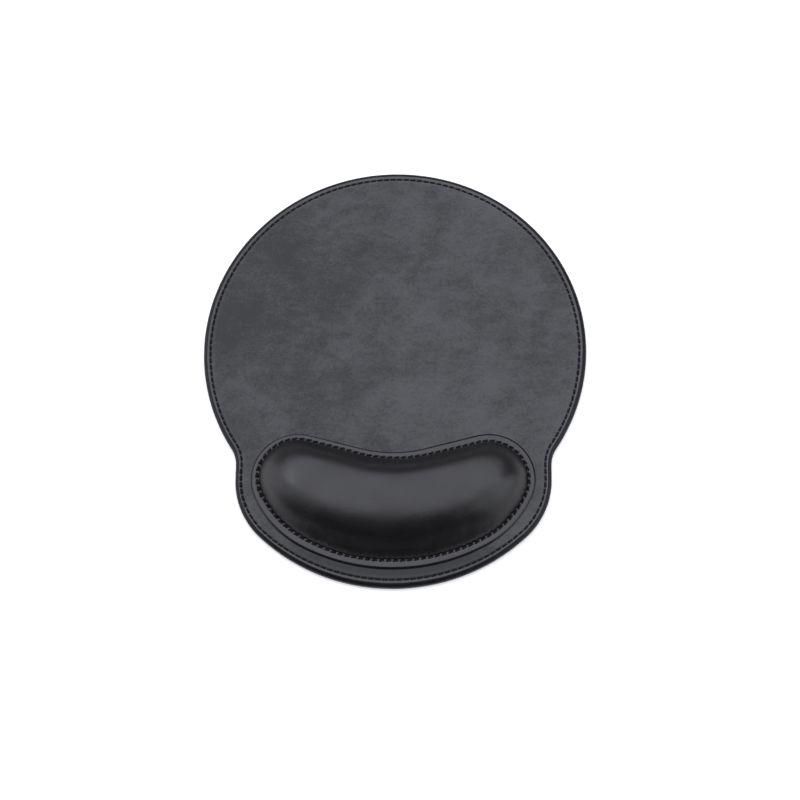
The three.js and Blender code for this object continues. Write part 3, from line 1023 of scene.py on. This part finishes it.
# The seam's distance from the cut edge at even spaces round the rest, from the middle of its back
HEM_WIDTHS = np.array([3.1, 3.9, 3.9, 3.1, 3.6, 4.2, 4.5, 4.05, 4.4, 3.5, 2.6, 2.85]) * MM
SEAM_FLOOR_RISE = 0.88 * MM

rest = Track(rest_outline, HEM_WIDTH, 8)
seam_floor = sheet_top + SEAM_FLOOR_RISE
hem_spaces = np.arange(len(HEM_WIDTHS) + 1) * rest.count / len(HEM_WIDTHS)
rest_seam = np.interp(np.arange(rest.count), hem_spaces, np.append(HEM_WIDTHS, HEM_WIDTHS[0]))
rest_line = rest.ring(rest_seam, 0)
print("wrist rest seam has", rest.stitches, "stitches")

# %% Ridge and rings of the crown
# How far the ridge reaches to the left and right, as a share of the seam's reach
RIDGE_REACH = 0.6
# The wall's share of the crown's height and the fullness of its dome, at the front and at the back
WALL_SHARES = (0.05, 0.16)
DOME_FULLNESS = (2.35, 3.3)
WALL_SHARPNESS = 30
ridge_back = rest_line[0, 1]
ridge_middle = (ridge_back + rest_line[:, 1].min()) / 2
shoulder = rest_line[rest_line[:, 1].argmax()]
ridge_bend = (shoulder[1] - ridge_back) / shoulder[0] ** 2


def crown_ring(angle, inset, foot, top):
    """A ring of the crown: angle 0 is its foot at the seam and a right angle its ridge."""
    edge = rest.ring(rest_seam + inset, 0)
    ridge = np.column_stack([
        edge[:, 0] * RIDGE_REACH,
        ridge_middle + ridge_bend * (edge[:, 0] * RIDGE_REACH) ** 2,
        np.zeros(rest.count),
    ])
    out = math.cos(angle)
    backness = (1 - rest.inward[:, 1]) / 2
    wall_share, fullness = (
        front + (back - front) * backness for front, back in (WALL_SHARES, DOME_FULLNESS)
    )
    wall = math.sqrt(1 - out ** WALL_SHARPNESS)
    dome = 1 - out ** fullness
    ring = ridge + (edge - ridge) * out
    ring[:, 2] = foot + (top - foot) * (wall_share * wall + (1 - wall_share) * dome)
    return ring


# %% [markdown]
# ## Stuffing the cushion
#
# A stuffed cover doesn't hold the plain curve that its pattern was drawn with: the foam presses it out,
# and the seam holds it in. That can be simulated. A coarse closed copy of the crown is remeshed into even
# cells, its foot is pinned where the seam would hold it, and Cloth pushes it out from inside with gravity
# off. Only the movement is kept, up to a cap: each point of the fine cover later moves as the nearest
# points of the coarse one did. The crown is drawn lower by that cap, so the swollen one keeps its height.

# %% A coarse crown of even cells
LAST_CROWN_ANGLE = math.radians(88.5)
COARSE_BANDS = 8
COARSE_STRIDE = 8
SWELL_VOXEL = 4 * MM
SWELL_CAP = 1.2 * MM
CROWN_FOOT_SINK = 0.15 * MM
CROWN_FOOT_INSET = 0.7 * MM
crown_foot = seam_floor - CROWN_FOOT_SINK
crown_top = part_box("wrist_rest_cover")[1].z - SWELL_CAP


def crown_angles(bands):
    """Angles from the foot of the crown to just short of its ridge."""
    return [LAST_CROWN_ANGLE * i / bands for i in range(bands + 1)]


def coarse_crown():
    bm = bmesh.new()
    closed_loft(bm, [
        crown_ring(angle, CROWN_FOOT_INSET, crown_foot, crown_top)[::COARSE_STRIDE]
        for angle in crown_angles(COARSE_BANDS)
    ])
    bmesh.ops.recalc_face_normals(bm, faces=bm.faces)
    crown = add_object("coarse_crown", finished_mesh(bm, "coarse crown"))
    even = crown.modifiers.new("even cells", "REMESH")
    even.mode = "VOXEL"
    even.voxel_size = SWELL_VOXEL
    return crown


# %% Simulate the swelling
CLOTH_SETTINGS = {
    "quality": 8,
    "mass": 0.3,
    "tension_stiffness": 15,
    "compression_stiffness": 15,
    "shear_stiffness": 7.5,
    "bending_stiffness": 1,
    "use_pressure": True,
    "uniform_pressure_force": 100,
}
SWELL_FRAMES = 20
# The crown is pinned up to this height above its foot
PINNED_HEIGHT = 1.6 * MM


def points_of(crown):
    """The crown's points as its modifiers leave them."""
    shaped = crown.evaluated_get(bpy.context.evaluated_depsgraph_get())
    values = np.zeros(len(shaped.data.vertices) * 3)
    shaped.data.vertices.foreach_get("co", values)
    return values.reshape(-1, 3)


def simulate_swelling():
    """Places of the coarse crown's points before, and how far each one moved."""
    rough = coarse_crown()
    shaped = rough.evaluated_get(bpy.context.evaluated_depsgraph_get())
    even = bpy.data.meshes.new_from_object(shaped)
    bpy.data.objects.remove(rough)
    crown = add_object("swelling_crown", even)
    before = points_of(crown)
    pinned = crown.vertex_groups.new(name="held by the seam")
    pinned.add([i for i, point in enumerate(before) if point[2] < crown_foot + PINNED_HEIGHT], 1.0, "ADD")
    cloth = crown.modifiers.new("stuffed", "CLOTH").settings
    cloth.vertex_group_mass = pinned.name
    cloth.effector_weights.gravity = 0
    for setting, value in CLOTH_SETTINGS.items():
        setattr(cloth, setting, value)
    scene = bpy.context.scene
    for number in range(1, SWELL_FRAMES + 1):
        scene.frame_set(number)
    moves = points_of(crown) - before
    scene.frame_set(1)
    bpy.data.objects.remove(crown)
    lengths = np.linalg.norm(moves, axis=1, keepdims=True)
    print("crown swelled by up to", round(lengths.max() / MM, 2), "mm at", len(before), "points")
    return before, moves * (SWELL_CAP / np.maximum(lengths, SWELL_CAP))


# %% Carry the swelling over to any point
NEAREST_POINTS = 16
BLEND_REACH = 3 * MM
# The swelling fades in over this height above the foot
SWELL_FADE = 5 * MM

swelling = simulate_swelling()
if swelling:
    swell_tree = kdtree.KDTree(len(swelling[0]))
    for i, point in enumerate(swelling[0]):
        swell_tree.insert(point, i)
    swell_tree.balance()


def swelled(point):
    """The place of a point after the swelling."""
    if not swelling:
        return point
    total = Vector()
    weights = 0.0
    for _, i, distance in swell_tree.find_n(point, NEAREST_POINTS):
        weight = 1 / (distance + BLEND_REACH) ** 2
        total += weight * Vector(swelling[1][i])
        weights += weight
    fade = min(max((point[2] - crown_foot) / SWELL_FADE, 0), 1)
    return Vector(point) + total / weights * fade


# %% [markdown]
# ## Leather cover of the wrist rest
#
# The fine cover is one closed skin: from the middle of its inside, down to the pad, out under the flange,
# round the cut edge, over the flange and through the seam, then up the crown. Between two needle holes the
# leather bulges towards the thread, and the foot of the crown shows slack, uneven puckers that die out a
# few millimetres up.

# %% Leather cover of the wrist rest
# Each step is the share of the way from the cut edge to the seam, the height above the pad's field, and
# how much a needle hole lowers it
FLANGE_STEPS = [
    (-0.07, 0.02, 0.0), (-0.06, 0.12, 0.0), (-0.03, 0.25, 0.0), (0.02, 0.42, 0.0), (0.07, 0.58, 0.0),
    (0.12, 0.73, 0.0), (0.17, 0.87, 0.0), (0.2, 0.94, 0.0), (0.25, 0.985, 0.0), (0.32, 1.0, 0.0),
    (0.46, 1.0, 0.0), (0.62, 1.0, 0.0), (0.76, 0.99, 0.03), (0.88, 0.94, 0.07), (1.0, 0.88, 0.12),
]
LEATHER_THICKNESS = 1.0 * MM
# The steps of the hem, painted in a paler colour: a painted sheen on the flat flange and its seam
HEM_STEPS = slice(8, 15)
INNER_BANDS = 6
CROWN_BANDS = 30
# Puckers come one to a stitch and slack folds by chance. Both die out with height
PUCKER_DEPTH = 0.2 * MM
PUCKER_HEIGHT = 1.8 * MM
SLACK_DEPTH = 0.35 * MM
SLACK_HEIGHT = 6 * MM
SLACK_SIZE = 7 * MM


def crown_points(angle):
    """A ring of the outside, with its puckers."""
    ring = crown_ring(angle, CROWN_FOOT_INSET, crown_foot, crown_top)
    rise = ring[:, 2] - crown_foot
    depth = PUCKER_DEPTH * rest.hole * np.exp(-rise / PUCKER_HEIGHT)
    slack = SLACK_DEPTH * rest.waver(SLACK_SIZE)
    depth += slack * np.minimum(rise / MM, 1) * np.exp(-rise / SLACK_HEIGHT)
    ring[:, :2] += rest.inward * depth[:, None]
    return [swelled(point) for point in ring]


inner_inset = CROWN_FOOT_INSET + LEATHER_THICKNESS
inner_top = crown_top - LEATHER_THICKNESS
rings = []
for angle in reversed(crown_angles(INNER_BANDS)):
    rings.append([swelled(point) for point in crown_ring(angle, inner_inset, sheet_top, inner_top)])
for share, rise, dip in FLANGE_STEPS:
    rings.append(rest.ring(rest_seam * share, sheet_top + (rise - dip * rest.hole) * MM))
rings.extend(crown_points(angle) for angle in crown_angles(CROWN_BANDS))
bm = bmesh.new()
hem_sheen = bm.verts.layers.float.new("hem_sheen")
loops = closed_loft(bm, rings)
for loop in loops[INNER_BANDS + 1:][HEM_STEPS]:
    for corner in loop:
        corner[hem_sheen] = 1.0
rest_cover = add_piece(bm, "rest_cover_leather", "wrist_rest_cover", cushion_leather())

# %% [markdown]
# ### Foam
#
# The filling can't be seen, but the piece is there: a block of soft foam, cut flat underneath and to the
# cover's own curve on top. Its finish shows open cells of two sizes, with painted shade in their pits.

# %% Foam finish
FOAM_PALE = (0.62, 0.58, 0.48)
# Painted shade in the pits of the cells
FOAM_PIT_SHADE = (0.4, 0.36, 0.28)
FOAM_TONES = (0.02, 0.25)
FOAM_CELL_SIZES = (1.1 * MM, 0.5 * MM)
FOAM_CELL_DEPTH = 0.3 * MM


def foam_finish():
    foam = Finish("cushion foam", FOAM_PALE, roughness=0.95)
    pores = foam.maths("MULTIPLY", *(foam.cells(size) for size in FOAM_CELL_SIZES))
    # Painted shade in the pits of the cells
    foam.set("Base Color", foam.blend(foam.spread(pores, *FOAM_TONES), FOAM_PIT_SHADE, FOAM_PALE))
    foam.set("Normal", foam.bump(pores, FOAM_CELL_DEPTH))
    return foam.material


# %% Foam cushion
FOAM_CLEARANCE = 0.3 * MM
FOAM_LIFT = 0.05 * MM
FOAM_BANDS = 8
FOAM_STRIDE = 4

inset = CROWN_FOOT_INSET + LEATHER_THICKNESS + FOAM_CLEARANCE
top = crown_top - LEATHER_THICKNESS - FOAM_CLEARANCE
foot = sheet_top + FOAM_LIFT
bm = bmesh.new()
closed_loft(bm, [
    [swelled(point) for point in crown_ring(angle, inset, foot, top)[::FOAM_STRIDE]]
    for angle in crown_angles(FOAM_BANDS)
])
rest_foam = add_piece(bm, "rest_foam_block", "wrist_rest_foam", foam_finish())

# %% Threads of the wrist rest
REST_THREAD_RADIUS = 0.55 * MM
REST_STITCH_SLANT = math.radians(9)
REST_STITCH_LIFT = 0.16 * MM
REST_LOCK_PLACE = Vector((-76, -64)) * MM
sew(
    "rest_stitches_above", "wrist_rest_needle_thread", make_stitch_mesh(REST_THREAD_RADIUS), rest_line,
    seam_floor + REST_STITCH_LIFT, rest.steps, REST_STITCH_SLANT, 1,
    stitches_near(rest_line, rest.steps, REST_LOCK_PLACE),
)
# The lower thread is hidden between the upper sheet and the board
dress_solid("wrist_rest_bobbin_thread", black_thread)

# %% [markdown]
# ## Studio
#
# The pad lies on a plain white floor. Three broad soft lamps hang to its left, over its back and to its
# right, so that the flat leather is lit evenly, the cushion carries a wide sheen along its top and down
# both ends, and its front falls off to black. The room gives only a little light of its own. The floor is a
# plain pale colour, with some white added for the rays that look straight at it or are mirrored in the
# pad. It keeps the pad's shadow near the pad and is pure white far off.

# %% Floor
FLOOR_RADIUS = 20.0
FLOOR_DROP = 0.05 * MM
FLOOR_COLOUR = (0.82, 0.82, 0.82)
# The added white near the pad and far off, and the distances between which it rises
GLOWS = (0.36, 1.0)
GLOW_REACH = (0.25, 0.9)

bm = bmesh.new()
bmesh.ops.create_circle(bm, cap_ends=True, segments=64, radius=FLOOR_RADIUS)
bmesh.ops.translate(bm, verts=bm.verts, vec=(0, 0, -FLOOR_DROP))
floor = add_object("floor", finished_mesh(bm, "floor"))
paint = Finish("white floor", FLOOR_COLOUR, roughness=0.9, shine=0.0)
rays = paint.add("ShaderNodeLightPath").outputs
looked_at = paint.maths("MAXIMUM", rays["Is Camera Ray"], rays["Is Glossy Ray"])
looked_at = paint.maths("MAXIMUM", looked_at, rays["Is Transmission Ray"])
glow = paint.spread(paint.distance(), *GLOW_REACH, *GLOWS)
paint.set("Emission Color", (1, 1, 1, 1))
paint.set("Emission Strength", paint.maths("MULTIPLY", glow, looked_at))
floor.data.materials.append(paint.material)
print("floor reaches", FLOOR_RADIUS, "m out")

# %% Lamps and room
LAMP_DISTANCE = 1.0
# Each lamp has the direction in which it hangs, its width and its power
LAMPS = {
    "left lamp": ((-0.83, 0.1, 0.55), 1.2, 6.4),
    "back lamp": ((0.0, 0.37, 0.929), 1.55, 15.0),
    "right lamp": ((0.82, -0.2, 0.54), 0.95, 4.7),
}
LAMP_COLOUR = (0.96, 0.97, 1.06)
ROOM_LIGHT = 0.04

for name, (direction, width, power) in LAMPS.items():
    away = Vector(direction).normalized()
    lamp = add_object(name, bpy.data.lights.new(name, "AREA"))
    lamp.data.shape = "SQUARE"
    lamp.data.size = width
    lamp.data.energy = power
    lamp.data.color = LAMP_COLOUR
    lamp.location = away * LAMP_DISTANCE
    lamp.rotation_euler = away.to_track_quat("Z", "Y").to_euler()
    print(name, "gives", power, "W over", width, "m")

room = bpy.data.worlds.new("room")
room.use_nodes = True
sky = room.node_tree.nodes["Background"].inputs
sky["Color"].default_value = (1, 1, 1, 1)
sky["Strength"].default_value = ROOM_LIGHT
bpy.context.scene.world = room
bpy.context.scene.view_settings.view_transform = "Standard"
